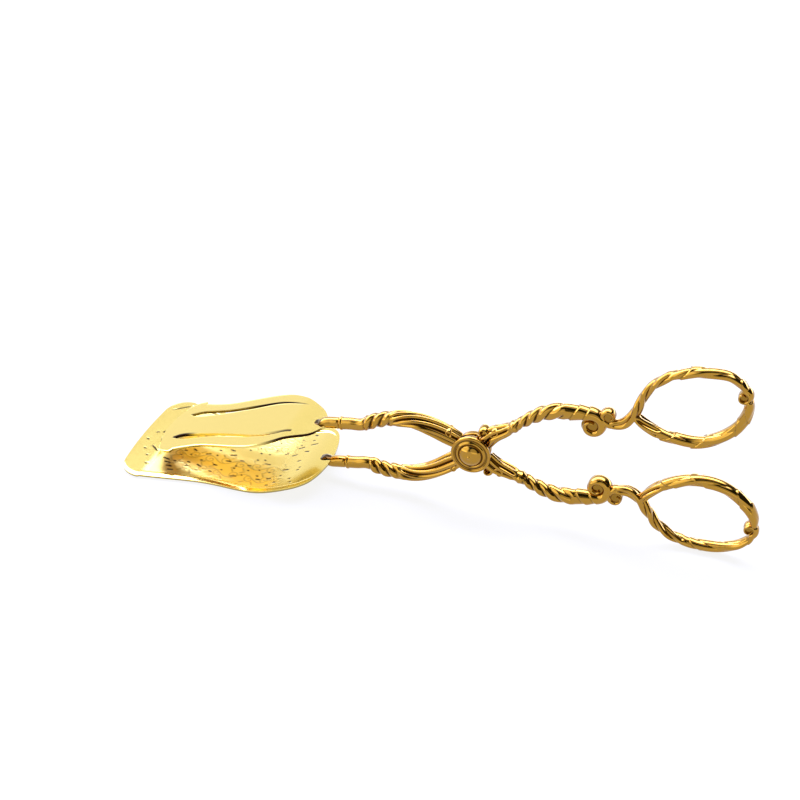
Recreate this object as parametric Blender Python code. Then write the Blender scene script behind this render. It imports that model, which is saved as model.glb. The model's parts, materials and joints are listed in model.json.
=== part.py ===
"""Serving tongs: two scrolled cast arms on a riveted pivot, a dished serving plate and a slotted plate.

The tongs stand on the serving plate's underside and on the lower finger loop. X runs from the jaws to the
handles, Z is up, and the arms swing in the XZ plane about a pin along Y. The origin lies on the serving
plate's flat underside. Each arm is drawn in a frame whose origin is the pin and whose +x is the line that
halves the angle between the arms, with its handle on the +z side and its jaw on the -z side.
"""

from math import cos, pi, radians, sin

import bmesh
import bpy
import numpy as np
from mathutils import Vector

MM = 0.001

# Pose of the pair on the table
PIVOT_X = 88.0
BISECTOR_TILT = 9.35
TABLE_CLEARANCE = 0.1

# Clearance between pieces that touch, and the running clearance of the half lap
FIT = 0.3
LAP_CLEARANCE = 0.4

# Pivot stack along Y
BOSS_RADIUS = 5.8
BOSS_HALF_DEPTH = 2.6
WASHER_THICKNESS = 0.4
WASHER_RADIUS = 5.2
PIN_RADIUS = 1.5
PIN_IN_CAP = 1.1
HEAD_RADIUS = 4.2
HEAD_HEIGHT = 1.5
REAR_WASHER_RADIUS = 4.8

# Medallion cap
CAP_RADIUS = 6.65
CAP_RIM_HEIGHT = 1.3
CAP_RIM_WIDTH = 1.1
CAP_GROOVE_DEPTH = 0.5
CAP_DOME_RADIUS = 4.2
CAP_DOME_HEIGHT = 2.4

# Casting section
LIMB_HALF_DEPTH = 2.5
SCROLL_HALF_DEPTH = 2.3
LOOP_HALF_DEPTH = 2.4
SECTION_SIDES = 10

# Neck of each arm and the plate shank that is pinned into it
NECK_X = -45.3
NECK_Z = -7.7
NECK_RADIUS = 2.1
NECK_STRAIGHT = 3.0
SHANK_RADIUS = 2.0
TANG_RADIUS = 1.1
TANG_LENGTH = 6.5
SHANK_OVERLAP = 2.5
COLLAR_RADIUS = 2.6
COLLAR_LENGTH = 1.5

# Jaw limb from neck to boss: x, z and width of the stations its curve passes through
JAW_LIMB = [
    (-38.5, -7.6, 4.2), (-33.5, -9.3, 4.6), (-28.0, -10.4, 5.0), (-22.5, -10.6, 5.2),
    (-17.5, -9.6, 5.6), (-12.5, -7.5, 6.2), (-8.0, -5.0, 6.4), (-2.5, -1.8, 5.0),
]

# Handle limb from boss to the first volute
HANDLE_LIMB = [
    (2.5, 2.0, 6.4), (7.2, 6.0, 5.6), (11.5, 7.9, 4.2), (16.0, 10.2, 3.3), (21.0, 13.2, 4.0),
    (26.0, 15.4, 4.8), (31.5, 16.3, 5.4), (36.5, 16.2, 4.8),
]

# First volute: curls inward, clockwise, at the end of the handle limb
VOLUTE_X = 41.3
VOLUTE_Z = 11.9
VOLUTE_START_RADIUS = 4.0
VOLUTE_END_RADIUS = 1.2
VOLUTE_START_ANGLE = 96.0
VOLUTE_SWEEP = 400.0
VOLUTE_START_WIDTH = 3.6
VOLUTE_END_WIDTH = 1.3

# Second scroll: starts at its own eye, opens anticlockwise and runs on into the finger loop
SCROLL_X = 47.4
SCROLL_Z = 15.4
SCROLL_START_RADIUS = 0.9
SCROLL_END_RADIUS = 3.0
SCROLL_START_ANGLE = -60.0
SCROLL_SWEEP = 330.0
SCROLL_START_WIDTH = 1.1
SCROLL_END_WIDTH = 3.4

# Outer band of the finger loop, from the scroll round the far side
OUTER_BAND = [
    (51.6, 12.9, 4.0), (54.8, 15.6, 4.0), (57.3, 20.0, 3.8), (60.3, 25.2, 3.5), (65.6, 29.6, 3.4),
    (72.0, 31.9, 3.5), (79.0, 32.4, 3.6), (85.5, 31.5, 3.4), (89.9, 28.6, 2.9),
]

# Third volute: the outer band's end, curled into the loop
EYE_X = 90.0
EYE_Z = 25.2
EYE_START_RADIUS = 2.9
EYE_END_RADIUS = 1.2
EYE_START_ANGLE = 40.0
EYE_SWEEP = 290.0
EYE_START_WIDTH = 2.7
EYE_END_WIDTH = 1.5

# Inner band of the finger loop, from the crossing back to the outer band
INNER_BAND = [
    (55.6, 15.6, 3.0), (58.2, 13.0, 3.4), (62.5, 10.2, 3.6), (68.0, 8.1, 3.7), (74.2, 7.2, 3.8),
    (80.0, 8.2, 3.8), (85.4, 11.2, 3.8), (89.6, 15.6, 3.8), (91.8, 20.6, 3.6), (91.9, 25.4, 3.2),
    (90.2, 28.6, 2.8),
]

# Serving plate, measured from its shoulder toward the tip
SERVE_LENGTH = 75.6
SERVE_SHEET = 0.9
SERVE_RIM_HEIGHT = 0.5
SERVE_RIM_WIDTH = 2.0
SERVE_STEP = 0.8
SERVE_TIP_BORDER = 12.0
SERVE_TIP_WIDTH = 50.0
SERVE_CORNER_RADIUS = 8.0
SERVE_TIP_BOW = 0.9
SERVE_FLARE_AT = 66.0
SERVE_WAIST_AT = 45.0
SERVE_WAIST_WIDTH = 42.2
SERVE_BULGE_AT = 31.0
SERVE_BULGE_WIDTH = 42.2
SERVE_HIP_AT = 18.0
SERVE_HIP_WIDTH = 39.0
SERVE_SHOULDER_AT = 10.0
SERVE_SHOULDER_WIDTH = 34.0
SERVE_ROOT_AT = 4.5
SERVE_ROOT_WIDTH = 7.0
SERVE_FLAT_FROM = 30.0

# Slotted plate, measured in the same way
CLAMP_LENGTH = 65.2
CLAMP_PITCH = 7.6
CLAMP_SHEET = 0.9
CLAMP_RISE = 3.0
CLAMP_TIP_WIDTH = 35.4
CLAMP_CORNER_RADIUS = 4.5
CLAMP_TIP_BOW = 2.2
CLAMP_FLARE_AT = 61.0
CLAMP_WAIST_AT = 46.5
CLAMP_WAIST_WIDTH = 28.2
CLAMP_BULGE_AT = 24.5
CLAMP_BULGE_WIDTH = 34.6
CLAMP_SHOULDER_AT = 9.8
CLAMP_SHOULDER_WIDTH = 19.5
CLAMP_ROOT_AT = 4.0
CLAMP_ROOT_WIDTH = 4.6
CLAMP_FLAT_FROM = 16.0

# One slot of the slotted plate: its root end, its border at the tip, and points round its edge as a share of
# the slot's length and a distance from the middle line
SLOT_ROOT_AT = 13.4
SLOT_TIP_BORDER = 6.0
SLOT_EDGE = [
    (0.0, 6.9), (0.236, 11.7), (0.46, 10.5), (0.672, 9.5), (0.906, 10.5), (1.0, 7.6),
    (0.928, 3.6), (0.694, 3.8), (0.481, 5.8), (0.24, 8.4),
]

# Columns of a plate between its sunk panel's edge and its middle line
PANEL_COLUMN_COUNT = 3

GOLD = "C8961E"
PALE_GOLD = "D9AE45"
STEEL = "B9B7B0"


def clear_scene():
    """Empty the file of objects."""
    for old in list(bpy.data.objects):
        bpy.data.objects.remove(old, do_unlink=True)


def linear(hex_colour):
    """Linear RGBA of an sRGB hex colour."""
    channels = [int(hex_colour[i:i + 2], 16) / 255 for i in (0, 2, 4)]
    return [c / 12.92 if c <= 0.04045 else ((c + 0.055) / 1.055) ** 2.4 for c in channels] + [1.0]


def metal(name, hex_colour, roughness):
    """A metallic Principled material."""
    material = bpy.data.materials.new(name)
    material.use_nodes = True
    shader = material.node_tree.nodes["Principled BSDF"]
    shader.inputs["Base Color"].default_value = linear(hex_colour)
    shader.inputs["Roughness"].default_value = roughness
    shader.inputs["Metallic"].default_value = 1.0
    return material


def add_object(name, verts_mm, faces, material=None, parent=None):
    """A mesh object from points in millimetres, with its faces turned outward."""
    mesh = bpy.data.meshes.new(name)
    mesh.from_pydata([Vector(v) * MM for v in verts_mm], [], faces)
    body = bmesh.new()
    body.from_mesh(mesh)
    bmesh.ops.remove_doubles(body, verts=body.verts, dist=1e-6)
    bmesh.ops.recalc_face_normals(body, faces=body.faces)
    body.to_mesh(mesh)
    body.free()
    mesh.shade_smooth()
    mesh.set_sharp_from_angle(angle=radians(40))
    obj = bpy.data.objects.new(name, mesh)
    bpy.context.scene.collection.objects.link(obj)
    if material:
        mesh.materials.append(material)
    obj.parent = parent
    return obj


def combine(target, tool, operation):
    """Join a tool to a target, or cut it away, with a live Boolean; the tool is hidden."""
    tool.hide_render = True
    tool.display_type = "WIRE"
    modifier = target.modifiers.new(tool.name, "BOOLEAN")
    modifier.operation = operation
    modifier.solver = "EXACT"
    modifier.object = tool


def empty(name, parent, location_mm=(0, 0, 0), turn_y=0.0):
    """An empty that carries a group, turned about Y by a number of degrees."""
    obj = bpy.data.objects.new(name, None)
    bpy.context.scene.collection.objects.link(obj)
    obj.parent = parent
    obj.location = Vector(location_mm) * MM
    obj.rotation_euler = (0, radians(turn_y), 0)
    return obj


def spline(points, per_span):
    """Catmull-Rom curve through rows of numbers, with a fixed number of samples between neighbours."""
    rows = np.array(points, float)
    ends = np.vstack([2 * rows[0] - rows[1], rows, 2 * rows[-1] - rows[-2]])
    t = np.linspace(0, 1, per_span, endpoint=False)[:, None]
    spans = []
    for a, b, c, d in zip(ends, ends[1:], ends[2:], ends[3:]):
        spans.append(0.5 * (2 * b + (c - a) * t + (2 * a - 5 * b + 4 * c - d) * t ** 2
                            + (3 * b - a - 3 * c + d) * t ** 3))
    return np.vstack(spans + [rows[-1:]])


def spiral(x, z, radius, angle, sweep, width, count):
    """Rows of x, z and width along a spiral; radius and width run from a first to a last value."""
    t = np.linspace(0, 1, count)
    turn = np.radians(angle + sweep * t)
    r = radius[0] + (radius[1] - radius[0]) * t
    wide = width[0] + (width[1] - width[0]) * t
    return np.column_stack([x + r * np.cos(turn), z + r * np.sin(turn), wide])


def sweep(name, rows, half_depth, parent, hand, material=None):
    """A bar along rows of x, z and width in the XZ plane, with a rounded section and flat ends.

    half_depth is the reach to either side in Y, one value or one for each row. hand is 1, or -1 for the
    mirrored casting.
    """
    rows = np.asarray(rows, float)
    depth = np.broadcast_to(half_depth, len(rows))
    along = np.gradient(rows[:, :2], axis=0)
    along /= np.linalg.norm(along, axis=1)[:, None]
    across = np.column_stack([-along[:, 1], along[:, 0]])
    turn = np.linspace(0, 2 * pi, SECTION_SIDES, endpoint=False) + pi / SECTION_SIDES
    side = np.sign(np.cos(turn)) * np.abs(np.cos(turn)) ** 0.7
    rise = np.sign(np.sin(turn)) * np.abs(np.sin(turn)) ** 0.7
    reach = rows[:, None, 2] / 2 * side
    x = rows[:, None, 0] + across[:, None, 0] * reach
    z = rows[:, None, 1] + across[:, None, 1] * reach
    y = depth[:, None] * rise
    verts = np.stack([x, y, z * hand], axis=2).reshape(-1, 3)
    n = SECTION_SIDES
    faces = []
    for i in range(len(rows) - 1):
        for j in range(n):
            k = (j + 1) % n
            faces.append((i * n + j, i * n + k, (i + 1) * n + k, (i + 1) * n + j))
    faces.append(tuple(range(n)))
    faces.append(tuple((len(rows) - 1) * n + j for j in range(n)))
    return add_object(name, verts, faces, material, parent)


def turned(name, profile, parent, material=None, segments=40):
    """A solid of revolution about Y from a closed run of (radius, y) points."""
    verts = []
    for radius, y in profile:
        for j in range(segments):
            a = 2 * pi * j / segments
            verts.append((radius * cos(a), y, radius * sin(a)))
    faces = []
    rings = len(profile)
    for i in range(rings if profile[0][0] > 0 else rings - 1):
        for j in range(segments):
            k = (j + 1) % segments
            m = (i + 1) % rings
            quad = (i * segments + j, i * segments + k, m * segments + k, m * segments + j)
            faces.append(quad)
    return add_object(name, verts, faces, material, parent)


def rod(name, start, end, radius, parent, segments=20):
    """A straight round bar between two points."""
    start, end = Vector(start), Vector(end)
    axis = (end - start).normalized()
    side = axis.orthogonal().normalized()
    other = axis.cross(side)
    verts = []
    for centre in (start, end):
        for j in range(segments):
            a = 2 * pi * j / segments
            verts.append(centre + side * radius * cos(a) + other * radius * sin(a))
    faces = [(j, (j + 1) % segments, segments + (j + 1) % segments, segments + j) for j in range(segments)]
    faces += [tuple(range(segments)), tuple(range(segments, 2 * segments))]
    return add_object(name, verts, faces, None, parent)


def prism(name, outline, low, high, parent):
    """An upright prism on a closed (x, y) outline."""
    n = len(outline)
    verts = [(x, y, low) for x, y in outline] + [(x, y, high) for x, y in outline]
    faces = [(j, (j + 1) % n, n + (j + 1) % n, n + j) for j in range(n)]
    faces += [tuple(range(n)), tuple(range(n, 2 * n))]
    return add_object(name, verts, faces, None, parent)


def arm(name, hand, front, parent, material):
    """One cast arm: jaw limb, boss, handle limb with volute, and the two bands of the finger loop."""
    neck = [(NECK_X, NECK_Z, 2 * NECK_RADIUS), (NECK_X + NECK_STRAIGHT, NECK_Z, 2 * NECK_RADIUS)]
    jaw_rows = spline(neck + JAW_LIMB, 4)
    jaw_depth = np.interp(jaw_rows[:, 0], [JAW_LIMB[0][0], JAW_LIMB[2][0]], [NECK_RADIUS, LIMB_HALF_DEPTH])
    body = sweep(name, jaw_rows, jaw_depth, parent, hand, material)

    volute = spiral(VOLUTE_X, VOLUTE_Z, (VOLUTE_START_RADIUS, VOLUTE_END_RADIUS), VOLUTE_START_ANGLE,
                    -VOLUTE_SWEEP, (VOLUTE_START_WIDTH, VOLUTE_END_WIDTH), 26)
    limb_rows = np.vstack([spline(HANDLE_LIMB + [tuple(volute[0])], 4)[:-1], volute])
    combine(body, sweep(name + "_handle_limb", limb_rows, LIMB_HALF_DEPTH, parent, hand), "UNION")

    scroll = spiral(SCROLL_X, SCROLL_Z, (SCROLL_START_RADIUS, SCROLL_END_RADIUS), SCROLL_START_ANGLE,
                    SCROLL_SWEEP, (SCROLL_START_WIDTH, SCROLL_END_WIDTH), 22)
    eye = spiral(EYE_X, EYE_Z, (EYE_START_RADIUS, EYE_END_RADIUS), EYE_START_ANGLE, -EYE_SWEEP,
                 (EYE_START_WIDTH, EYE_END_WIDTH), 16)
    band = spline([tuple(scroll[-1])] + OUTER_BAND + [tuple(eye[0])], 4)
    band_rows = np.vstack([scroll[:-1], band[:-1], eye])
    combine(body, sweep(name + "_outer_band", band_rows, SCROLL_HALF_DEPTH, parent, hand), "UNION")
    inner_rows = spline(INNER_BAND, 4)
    combine(body, sweep(name + "_inner_band", inner_rows, LOOP_HALF_DEPTH, parent, hand), "UNION")

    inside = WASHER_THICKNESS / 2 + FIT
    outside = BOSS_HALF_DEPTH
    facing = -1 if front else 1
    lap = rod(name + "_lap", (0, facing * inside, 0), (0, -facing * 2 * outside, 0),
              BOSS_RADIUS + LAP_CLEARANCE, parent, 40)
    combine(body, lap, "DIFFERENCE")
    boss = rod(name + "_boss", (0, facing * inside, 0), (0, facing * outside, 0), BOSS_RADIUS, parent, 40)
    combine(body, boss, "UNION")
    bore = rod(name + "_bore", (0, -2 * outside, 0), (0, 2 * outside, 0), PIN_RADIUS + FIT, parent)
    combine(body, bore, "DIFFERENCE")
    depth = COLLAR_LENGTH + 2 * FIT
    socket = rod(name + "_socket", (NECK_X - 1, 0, NECK_Z * hand),
                 (NECK_X - depth + TANG_LENGTH + FIT, 0, NECK_Z * hand), TANG_RADIUS + FIT, parent)
    combine(body, socket, "DIFFERENCE")
    return body


def lowest_of_loop():
    """Height of the lower finger loop's lowest point under the pin, in the standing pose."""
    rows = spline(OUTER_BAND, 24)
    x, z = rows[:, 0], -rows[:, 1] - rows[:, 2] / 2
    tilt = radians(BISECTOR_TILT)
    return float(np.min(x * sin(tilt) + z * cos(tilt)))


def plate_rows(stations, length, tip_width, corner, bow):
    """Rows of a plate from root to tip: distance from the shoulder, half width and bow of each row."""
    body = spline(stations, 4)
    turn = np.linspace(0, pi / 2, 7)
    end = np.column_stack([
        length - bow - corner * (1 - np.sin(turn)), tip_width / 2 - corner * (1 - np.cos(turn)),
    ])
    lead = body[body[:, 0] < end[0, 0] - 0.5]
    rows = np.vstack([lead, end])
    bows = np.concatenate([np.zeros(len(lead)), bow * np.sin(turn)])
    return rows[:, 0], rows[:, 1], bows


def plate(name, rows, marks, top, bottom, parent, material):
    """A plate between two height functions of the distance from the shoulder and a column's kind.

    marks are the distances of the first columns from the edge; the rest spread evenly to the middle.
    """
    at, half, bow = rows
    columns = []
    for i, mark in enumerate(marks):
        columns.append(np.maximum(half - mark, half * (1 - 0.12 * (1 + i))) if mark else half)
    for k in range(1, PANEL_COLUMN_COUNT):
        columns.append(columns[len(marks) - 1] * (1 - k / PANEL_COLUMN_COUNT))
    columns.append(np.zeros_like(half))
    right = np.array(columns).T
    y = np.hstack([-right, right[:, -2::-1]])
    kinds = list(range(len(columns))) + list(range(len(columns) - 2, -1, -1))
    x = -(at[:, None] + bow[:, None] * (1 - (y / half[:, None]) ** 2))
    high = np.column_stack([top(at, kind) for kind in kinds])
    low = np.column_stack([bottom(at, kind) for kind in kinds])
    count, wide = y.shape
    verts = np.vstack([np.stack([x, y, high], 2).reshape(-1, 3), np.stack([x, y, low], 2).reshape(-1, 3)])
    under = count * wide
    faces = []
    for i in range(count - 1):
        for j in range(wide - 1):
            quad = (i * wide + j, i * wide + j + 1, (i + 1) * wide + j + 1, (i + 1) * wide + j)
            faces.append(quad)
            faces.append(tuple(under + v for v in reversed(quad)))
    edge = [j for j in range(wide)]
    edge += [i * wide + wide - 1 for i in range(1, count)]
    edge += [(count - 1) * wide + j for j in range(wide - 2, -1, -1)]
    edge += [i * wide for i in range(count - 2, 0, -1)]
    for a, b in zip(edge, edge[1:] + edge[:1]):
        faces.append((a, b, under + b, under + a))
    return add_object(name, verts, faces, material, parent)


def ease(value):
    """Smooth step from 0 to 1."""
    t = np.clip(value, 0, 1)
    return t * t * (3 - 2 * t)


def add_shank(body, parent, turn_y, root_at):
    """Join the round shank and its thinner tang, which point along the arm's own x axis."""
    a = radians(turn_y)
    axis = Vector((cos(a), 0, -sin(a)))
    shank = rod(body.name + "_shank", axis * -(root_at + SHANK_OVERLAP), (0, 0, 0), SHANK_RADIUS, parent)
    combine(body, shank, "UNION")
    tang = rod(body.name + "_tang", axis * -1.0, axis * TANG_LENGTH, TANG_RADIUS, parent)
    combine(body, tang, "UNION")


def serving_plate(parent, drop, material):
    """The lower jaw: flat underside, sunk panel inside a rim, and a rear that sweeps up to the shank."""
    stations = [
        (SERVE_ROOT_AT, SERVE_ROOT_WIDTH / 2), (SERVE_SHOULDER_AT, SERVE_SHOULDER_WIDTH / 2),
        (SERVE_HIP_AT, SERVE_HIP_WIDTH / 2), (SERVE_BULGE_AT, SERVE_BULGE_WIDTH / 2),
        (SERVE_WAIST_AT, SERVE_WAIST_WIDTH / 2), (SERVE_FLARE_AT, SERVE_TIP_WIDTH / 2 - 0.5),
        (SERVE_LENGTH, SERVE_TIP_WIDTH / 2),
    ]
    rows = plate_rows(stations, SERVE_LENGTH, SERVE_TIP_WIDTH, SERVE_CORNER_RADIUS, SERVE_TIP_BOW)
    border = SERVE_LENGTH - SERVE_TIP_BORDER
    at, half, bow = rows
    keep = np.abs(at - border) > SERVE_STEP
    extra = np.array([border, border + SERVE_STEP])
    order = np.argsort(np.concatenate([at[keep], extra]))
    at, half, bow = (np.concatenate([r[keep], np.interp(extra, rows[0], r)])[order] for r in rows)

    def base(x):
        """Height of the underside: flat toward the tip, swept up to the shank at the root."""
        sweep_up = ease((SERVE_FLAT_FROM - x) / (SERVE_FLAT_FROM - SERVE_ROOT_AT)) ** 1.3
        return -drop + (drop - SERVE_SHEET / 2) * sweep_up

    def top(x, kind):
        """Height of the upper face, raised at the rim columns and over the tip border."""
        rim = np.where(x > border + SERVE_STEP / 2, SERVE_RIM_HEIGHT, 0.0) if kind > 1 else SERVE_RIM_HEIGHT
        return base(x) + SERVE_SHEET + rim * ease((x - SERVE_ROOT_AT) / SERVE_SHOULDER_AT)

    body = plate("serving_plate", (at, half, bow), [0, SERVE_RIM_WIDTH, SERVE_RIM_WIDTH + SERVE_STEP], top,
                 lambda x, kind: base(x), parent, material)
    return body


def slotted_plate(parent, material):
    """The upper jaw: a waisted plate with two long slots either side of its middle tine."""
    stations = [
        (CLAMP_ROOT_AT, CLAMP_ROOT_WIDTH / 2), (CLAMP_SHOULDER_AT, CLAMP_SHOULDER_WIDTH / 2),
        (CLAMP_BULGE_AT, CLAMP_BULGE_WIDTH / 2), (CLAMP_WAIST_AT, CLAMP_WAIST_WIDTH / 2),
        (CLAMP_FLARE_AT, CLAMP_TIP_WIDTH / 2 - 0.6), (CLAMP_LENGTH, CLAMP_TIP_WIDTH / 2),
    ]
    rows = plate_rows(stations, CLAMP_LENGTH, CLAMP_TIP_WIDTH, CLAMP_CORNER_RADIUS, CLAMP_TIP_BOW)

    def base(x):
        """Height of the lower face: raised flat, and down to the shank at the root."""
        lift = ease((x - CLAMP_ROOT_AT) / (CLAMP_FLAT_FROM - CLAMP_ROOT_AT))
        return -CLAMP_SHEET / 2 + CLAMP_RISE * lift

    body = plate("slotted_plate", rows, [0], lambda x, kind: base(x) + CLAMP_SHEET,
                 lambda x, kind: base(x), parent, material)
    slot_length = CLAMP_LENGTH - SLOT_TIP_BORDER - SLOT_ROOT_AT
    loop = [(SLOT_ROOT_AT + share * slot_length, y) for share, y in SLOT_EDGE]
    for side, word in ((1, "far"), (-1, "near")):
        outline = [(-x, side * y) for x, y in spline(loop + loop[:1], 3)[:-1]]
        slot = prism("slot_" + word, outline, -6 * CLAMP_SHEET, 10 * CLAMP_SHEET, parent)
        combine(body, slot, "DIFFERENCE")
    return body


def collar(name, seat, parent, material):
    """The ring between a plate's shoulder and its arm, round the tang."""
    ring = turned(name, [
        (TANG_RADIUS + FIT, FIT), (COLLAR_RADIUS, FIT), (COLLAR_RADIUS, FIT + COLLAR_LENGTH),
        (TANG_RADIUS + FIT, FIT + COLLAR_LENGTH),
    ], parent, material, 24)
    ring.location = Vector(seat) * MM
    ring.rotation_euler = (0, 0, -pi / 2)
    return ring


def build():
    """Make every piece of the tongs."""
    clear_scene()
    arm_gold = metal("gold_plated_casting", GOLD, 0.16)
    plate_gold = metal("gold_plated_sheet", PALE_GOLD, 0.14)
    rivet_steel = metal("rivet_steel", STEEL, 0.3)

    pivot_height = TABLE_CLEARANCE - lowest_of_loop()
    pivot = empty("pivot_axis", None, (PIVOT_X, 0, pivot_height))
    rear_frame = empty("rear_arm_frame", pivot, turn_y=-BISECTOR_TILT)
    front_frame = empty("front_arm_frame", pivot, turn_y=-BISECTOR_TILT)

    arm("rear_arm", 1, False, rear_frame, arm_gold)
    arm("front_arm", -1, True, front_frame, arm_gold)

    seat_x = NECK_X - COLLAR_LENGTH - 2 * FIT
    tilt = radians(BISECTOR_TILT)
    drop = pivot_height + seat_x * sin(tilt) + NECK_Z * cos(tilt)
    serve_frame = empty("serving_seat", rear_frame, (seat_x, 0, NECK_Z), BISECTOR_TILT)
    lower = serving_plate(serve_frame, drop, plate_gold)
    add_shank(lower, serve_frame, -BISECTOR_TILT, SERVE_ROOT_AT)
    collar("serving_collar", (seat_x, 0, NECK_Z), rear_frame, arm_gold)

    clamp_frame = empty("slotted_seat", front_frame, (seat_x, 0, -NECK_Z), -CLAMP_PITCH)
    upper = slotted_plate(clamp_frame, plate_gold)
    add_shank(upper, clamp_frame, CLAMP_PITCH, CLAMP_ROOT_AT)
    collar("slotted_collar", (seat_x, 0, -NECK_Z), front_frame, arm_gold)

    front = -BOSS_HALF_DEPTH - FIT
    rim = front - CAP_RIM_HEIGHT
    well = rim + CAP_GROOVE_DEPTH
    dome = [(CAP_DOME_RADIUS * cos(a), well - CAP_DOME_HEIGHT * sin(a)) for a in np.linspace(0, pi / 2, 8)]
    dome[-1] = (0, dome[-1][1])
    hole = front - PIN_IN_CAP - FIT
    turned("medallion_cap", [
        (0, hole), (PIN_RADIUS + FIT, hole), (PIN_RADIUS + FIT, front), (CAP_RADIUS, front),
        (CAP_RADIUS, rim + 0.4 * CAP_RIM_HEIGHT), (CAP_RADIUS - 0.25 * CAP_RIM_WIDTH, rim),
        (CAP_RADIUS - CAP_RIM_WIDTH, rim), (CAP_RADIUS - CAP_RIM_WIDTH - CAP_GROOVE_DEPTH, well),
    ] + dome, pivot, arm_gold)

    back = BOSS_HALF_DEPTH + FIT
    head = back + WASHER_THICKNESS + FIT
    turned("pivot_pin", [
        (0, front - PIN_IN_CAP), (PIN_RADIUS, front - PIN_IN_CAP), (PIN_RADIUS, head), (HEAD_RADIUS, head),
        (HEAD_RADIUS, head + 0.4 * HEAD_HEIGHT), (0.6 * HEAD_RADIUS, head + 0.85 * HEAD_HEIGHT),
        (0, head + HEAD_HEIGHT),
    ], pivot, rivet_steel)
    bore = PIN_RADIUS + FIT
    half = WASHER_THICKNESS / 2
    turned("pivot_washer", [
        (bore, -half), (WASHER_RADIUS, -half), (WASHER_RADIUS, half), (bore, half),
    ], pivot, rivet_steel)
    turned("rear_washer", [
        (bore, back), (REAR_WASHER_RADIUS, back), (REAR_WASHER_RADIUS, back + WASHER_THICKNESS),
        (bore, back + WASHER_THICKNESS),
    ], pivot, rivet_steel)


build()
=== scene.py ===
# %% [markdown]
# # Gilt serving tongs
#
# Two scrolled cast arms cross at a capped rivet. One carries a wide rimmed serving plate, the other a
# narrower slotted plate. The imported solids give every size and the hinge; this script lays the fine
# castings, the pressed plates and the plating over them, piece by piece.

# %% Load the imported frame
import json
from math import cos, pi, radians, sin

import bmesh
import bpy
import numpy as np
from mathutils import Matrix


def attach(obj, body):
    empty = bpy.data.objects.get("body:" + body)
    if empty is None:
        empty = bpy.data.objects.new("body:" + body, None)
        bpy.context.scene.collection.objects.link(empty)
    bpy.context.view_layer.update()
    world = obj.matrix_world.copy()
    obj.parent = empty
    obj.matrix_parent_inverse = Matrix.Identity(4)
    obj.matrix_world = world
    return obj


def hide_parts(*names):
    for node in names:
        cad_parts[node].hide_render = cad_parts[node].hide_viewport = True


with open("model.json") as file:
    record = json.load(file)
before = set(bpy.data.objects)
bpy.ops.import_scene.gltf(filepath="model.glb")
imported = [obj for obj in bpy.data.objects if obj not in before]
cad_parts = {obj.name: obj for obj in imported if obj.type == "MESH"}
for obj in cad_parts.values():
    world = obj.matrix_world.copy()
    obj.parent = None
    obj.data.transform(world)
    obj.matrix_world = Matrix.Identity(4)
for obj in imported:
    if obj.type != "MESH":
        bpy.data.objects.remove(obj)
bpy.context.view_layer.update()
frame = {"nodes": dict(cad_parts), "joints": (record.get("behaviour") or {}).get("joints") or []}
bpy.context.scene.view_settings.view_transform = "Standard"

MM = 0.001
PIVOT = np.array(frame["joints"][0]["pos_m"]) / MM
print("pivot in mm", PIVOT.round(2).tolist())

# %% [markdown]
# ## Camera
#
# The photograph was taken from a little above and to the right of square-on, with a short telephoto. The
# angles, the distance and the pivot's place in the 800 px frame say where the camera stands, so nothing is
# shifted or cropped.

# %% Place the camera
VIEW_AZIMUTH, VIEW_ELEVATION, VIEW_ROLL = radians(16.89), radians(31.76), radians(1.74)
VIEW_DISTANCE, PIXELS_PER_MM = 575.0, 3.0
FRAME_PX, PIVOT_PX = 800.0, (473.5, 449.3)


def camera_axes(azimuth, elevation, roll):
    """Right, up and back directions of a camera that looks down at an azimuth and an elevation, rolled."""
    ca, sa, ce, se = cos(azimuth), sin(azimuth), cos(elevation), sin(elevation)
    right, up = np.array([ca, sa, 0]), np.array([-sa * se, ca * se, ce])
    return np.array([
        right * cos(roll) + up * sin(roll), up * cos(roll) - right * sin(roll), (sa * ce, -ca * ce, se),
    ])


axes = camera_axes(VIEW_AZIMUTH, VIEW_ELEVATION, VIEW_ROLL)
offset = np.array([
    (PIVOT_PX[0] - FRAME_PX / 2) / PIXELS_PER_MM,
    (FRAME_PX / 2 - PIVOT_PX[1]) / PIXELS_PER_MM,
    -VIEW_DISTANCE,
])
eye = (PIVOT - axes.T @ offset) * MM
camera_data = bpy.data.cameras.new("camera")
camera_data.sensor_width = 36.0
camera_data.lens = camera_data.sensor_width * PIXELS_PER_MM * VIEW_DISTANCE / FRAME_PX
camera_data.clip_start = 0.01
camera = bpy.data.objects.new("camera", camera_data)
camera.matrix_world = Matrix.Translation(eye) @ Matrix(axes.T.tolist()).to_4x4()
bpy.context.scene.collection.objects.link(camera)
bpy.context.scene.camera = camera
print("camera at mm", (eye / MM).round(1).tolist(), "lens", round(camera_data.lens, 1))

# %% [markdown]
# ## Node helper and colours
#
# Every material is a short list of nodes. One function adds a node with its settings and its links, and one
# turns an sRGB hex colour into the linear values that a shader reads.

# %% Node and colour helpers


def linear(hex_colour):
    """Linear RGBA of an sRGB hex colour, by the sRGB curve."""
    srgb = np.array([int(hex_colour[i:i + 2], 16) for i in (0, 2, 4)]) / 255
    rgb = np.where(srgb <= 0.04045, srgb / 12.92, ((srgb + 0.055) / 1.055) ** 2.4)
    return (*rgb.tolist(), 1.0)


def add_node(tree, kind, settings=None, **inputs):
    """A node with its settings, whose inputs are values or other nodes' output sockets.

    An input is given by its name, with _ for a space, or by _ and its number.
    """
    node = tree.nodes.new(kind)
    for key, value in (settings or {}).items():
        setattr(node, key, value)
    for key, value in inputs.items():
        numbered = key[0] == "_" and key[1:].isdigit()
        socket = node.inputs[int(key[1:]) if numbered else key.replace("_", " ")]
        if isinstance(value, bpy.types.NodeSocket):
            tree.links.new(value, socket)
        else:
            socket.default_value = value
    return node


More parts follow.
